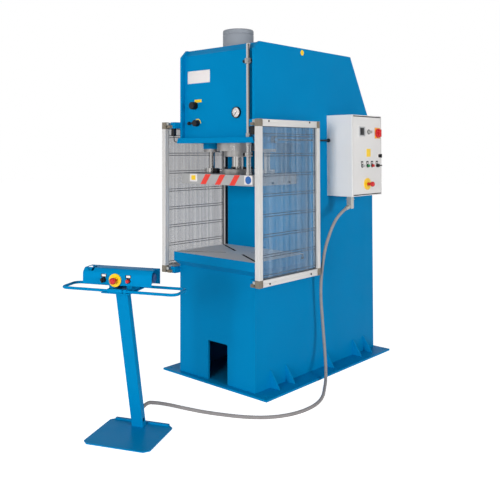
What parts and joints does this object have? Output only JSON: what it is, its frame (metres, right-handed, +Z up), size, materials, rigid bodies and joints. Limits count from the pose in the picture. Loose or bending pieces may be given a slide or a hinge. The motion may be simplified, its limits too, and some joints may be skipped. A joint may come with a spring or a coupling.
{
  "type": "hydraulic press",
  "caption": "Floor-standing C-frame hydraulic press with hinged side guards, electrical box and a two-hand console on its own post, joined by a flexible conduit.",
  "frame": {"origin": "on the floor under the ram's axis", "axes": "+Z up, +X to the operator's right, +Y to the back of the press"},
  "size_m": [1.3777, 3.0233, 2.752],
  "materials": {
    "body_blue": "smooth enamel",
    "table_steel": "ground",
    "bright_steel": "machined",
    "chrome_bar": "ground and chromed",
    "cylinder_grey": "smooth enamel",
    "guard_aluminium": "anodised",
    "clear_sheet": "clear sheet with wires",
    "box_grey": "fine textured enamel",
    "black_plastic": "satin",
    "red_plastic": "gloss",
    "green_plastic": "gloss",
    "grey_plastic": "satin",
    "zinc": "zinc plated",
    "conduit_grey": "smooth sheath",
    "yellow_plastic": "gloss"
  },
  "bodies": {
    "press": {"base_plate": "body_blue", "base_gussets": "body_blue", "side_plate_left": "body_blue", "side_plate_right": "body_blue", "lower_front_panel": "body_blue", "throat_plate": "body_blue", "table_plate": "table_steel", "table_plug": "table_steel", "table_ribs": "body_blue", "head_floor_plate": "body_blue", "head_front_cover": "body_blue", "rear_cover": "body_blue", "cylinder_barrel": "cylinder_grey", "cylinder_gland": "bright_steel", "guide_housings": "body_blue", "guide_bushes": "bright_steel", "oil_tank": "body_blue", "hydraulic_unit": "zinc", "side_brackets": "body_blue", "position_switches": "black_plastic", "gauge_case": "black_plastic", "control_box": "box_grey", "box_board": "zinc", "cable_fittings": "grey_plastic", "pedestal_frame": "body_blue", "handrail": "body_blue", "console_shell": "body_blue", "console_fittings": "black_plastic", "conduit": "conduit_grey"},
    "ram": {"piston_rod": "chrome_bar", "ram_flange": "bright_steel", "platen": "bright_steel", "guide_columns": "chrome_bar", "stroke_rod": "chrome_bar"},
    "upper_stop": {"upper_stop": "bright_steel"},
    "lower_stop": {"lower_stop": "bright_steel"},
    "switch_roller": {"switch_roller": "black_plastic"},
    "guard_left": {"guard_frame_left": "guard_aluminium", "guard_panel_left": "clear_sheet"},
    "guard_right": {"guard_frame_right": "guard_aluminium", "guard_panel_right": "clear_sheet"},
    "hand_lever": {"hand_lever": "black_plastic"},
    "gauge_needle": {"gauge_needle": "black_plastic"},
    "regulator_knob": {"regulator_knob": "black_plastic"},
    "selector_lever": {"selector_lever": "black_plastic"},
    "door": {"box_door": "box_grey", "door_fittings": "grey_plastic"},
    "main_switch_knob": {"main_switch_knob": "red_plastic"},
    "key_switch": {"key_switch": "zinc"},
    "door_lock": {"door_lock": "black_plastic"},
    "button_grey": {"button_grey": "grey_plastic"},
    "button_green": {"button_green": "green_plastic"},
    "button_red": {"button_red": "red_plastic"},
    "mode_selector": {"mode_selector": "black_plastic"},
    "box_stop_button": {"box_stop_button": "red_plastic"},
    "palm_button_left": {"palm_button_left": "black_plastic"},
    "palm_button_right": {"palm_button_right": "black_plastic"},
    "console_selector": {"console_selector": "black_plastic"},
    "console_button": {"console_button": "red_plastic"},
    "console_stop_button": {"console_stop_button": "red_plastic"}
  },
  "joints": [
    {"name": "ram_slide", "type": "slide", "parent": "press", "child": "ram", "axis": [0, 0, 1], "range_m": [-0.38, 0.045]},
    {"name": "upper_stop_slide", "type": "slide", "parent": "ram", "child": "upper_stop", "axis": [0, 0, 1], "range_m": [-0.06, 0.09]},
    {"name": "lower_stop_slide", "type": "slide", "parent": "ram", "child": "lower_stop", "axis": [0, 0, 1], "range_m": [-0.1, 0]},
    {"name": "switch_roller_hinge", "type": "hinge", "parent": "press", "child": "switch_roller", "pos_m": [0.336, -0.234, 1.985], "axis": [0, -1, 0], "range_deg": [0, 6], "stiffness_Nm_per_rad": 0.5},
    {"name": "guard_left_hinge", "type": "hinge", "parent": "press", "child": "guard_left", "pos_m": [-0.446, -0.348, 1.4], "axis": [0, 0, 1], "range_deg": [0, 90]},
    {"name": "guard_right_hinge", "type": "hinge", "parent": "press", "child": "guard_right", "pos_m": [0.446, -0.348, 1.4], "axis": [0, 0, -1], "range_deg": [0, 90]},
    {"name": "hand_lever_hinge", "type": "hinge", "parent": "press", "child": "hand_lever", "pos_m": [0.421, -0.078, 1.852], "axis": [1, 0, 0], "range_deg": [-12, 12]},
    {"name": "gauge_needle_hinge", "type": "hinge", "parent": "press", "child": "gauge_needle", "pos_m": [0.187, -0.24, 2.058], "axis": [0, 1, 0], "range_deg": [0, 270], "stiffness_Nm_per_rad": 0.01},
    {"name": "regulator_knob_hinge", "type": "hinge", "parent": "press", "child": "regulator_knob", "pos_m": [-0.252, -0.234, 2.127], "axis": [0, 1, 0], "continuous": true},
    {"name": "selector_lever_hinge", "type": "hinge", "parent": "press", "child": "selector_lever", "pos_m": [-0.226, -0.234, 1.987], "axis": [0, 1, 0], "range_deg": [0, 90]},
    {"name": "box_door_hinge", "type": "hinge", "parent": "press", "child": "door", "pos_m": [0.625, 0.686, 1.728], "axis": [0, 0, -1], "range_deg": [0, 120]},
    {"name": "main_switch_hinge", "type": "hinge", "parent": "door", "child": "main_switch_knob", "pos_m": [0.63, 1.055, 1.915], "axis": [1, 0, 0], "range_deg": [0, 90]},
    {"name": "key_switch_hinge", "type": "hinge", "parent": "door", "child": "key_switch", "pos_m": [0.63, 0.922, 1.923], "axis": [1, 0, 0], "range_deg": [0, 90]},
    {"name": "door_lock_hinge", "type": "hinge", "parent": "door", "child": "door_lock", "pos_m": [0.63, 1.086, 1.724], "axis": [1, 0, 0], "range_deg": [0, 90]},
    {"name": "button_grey_press", "type": "slide", "parent": "door", "child": "button_grey", "axis": [-1, 0, 0], "range_m": [0, 0.005], "stiffness_N_per_m": 600},
    {"name": "button_green_press", "type": "slide", "parent": "door", "child": "button_green", "axis": [-1, 0, 0], "range_m": [0, 0.005], "stiffness_N_per_m": 600},
    {"name": "button_red_press", "type": "slide", "parent": "door", "child": "button_red", "axis": [-1, 0, 0], "range_m": [0, 0.005], "stiffness_N_per_m": 600},
    {"name": "mode_selector_hinge", "type": "hinge", "parent": "door", "child": "mode_selector", "pos_m": [0.63, 1.05, 1.643], "axis": [1, 0, 0], "range_deg": [-45, 45]},
    {"name": "box_stop_press", "type": "slide", "parent": "door", "child": "box_stop_button", "axis": [-1, 0, 0], "range_m": [0, 0.006]},
    {"name": "palm_left_press", "type": "slide", "parent": "press", "child": "palm_button_left", "axis": [0.9107, 0.4131, 0], "range_m": [0, 0.006], "stiffness_N_per_m": 600},
    {"name": "palm_right_press", "type": "slide", "parent": "press", "child": "palm_button_right", "axis": [-0.9107, -0.4131, 0], "range_m": [0, 0.006], "stiffness_N_per_m": 600},
    {"name": "console_selector_hinge", "type": "hinge", "parent": "press", "child": "console_selector", "pos_m": [0.19983, -1.48925, 0.979], "axis": [0.4131, -0.9107, 0], "range_deg": [-45, 45]},
    {"name": "console_button_press", "type": "slide", "parent": "press", "child": "console_button", "axis": [-0.4131, 0.9107, 0], "range_m": [0, 0.005], "stiffness_N_per_m": 600},
    {"name": "console_stop_press", "type": "slide", "parent": "press", "child": "console_stop_button", "axis": [-0.4131, 0.9107, 0], "range_m": [0, 0.006]}
  ]
}
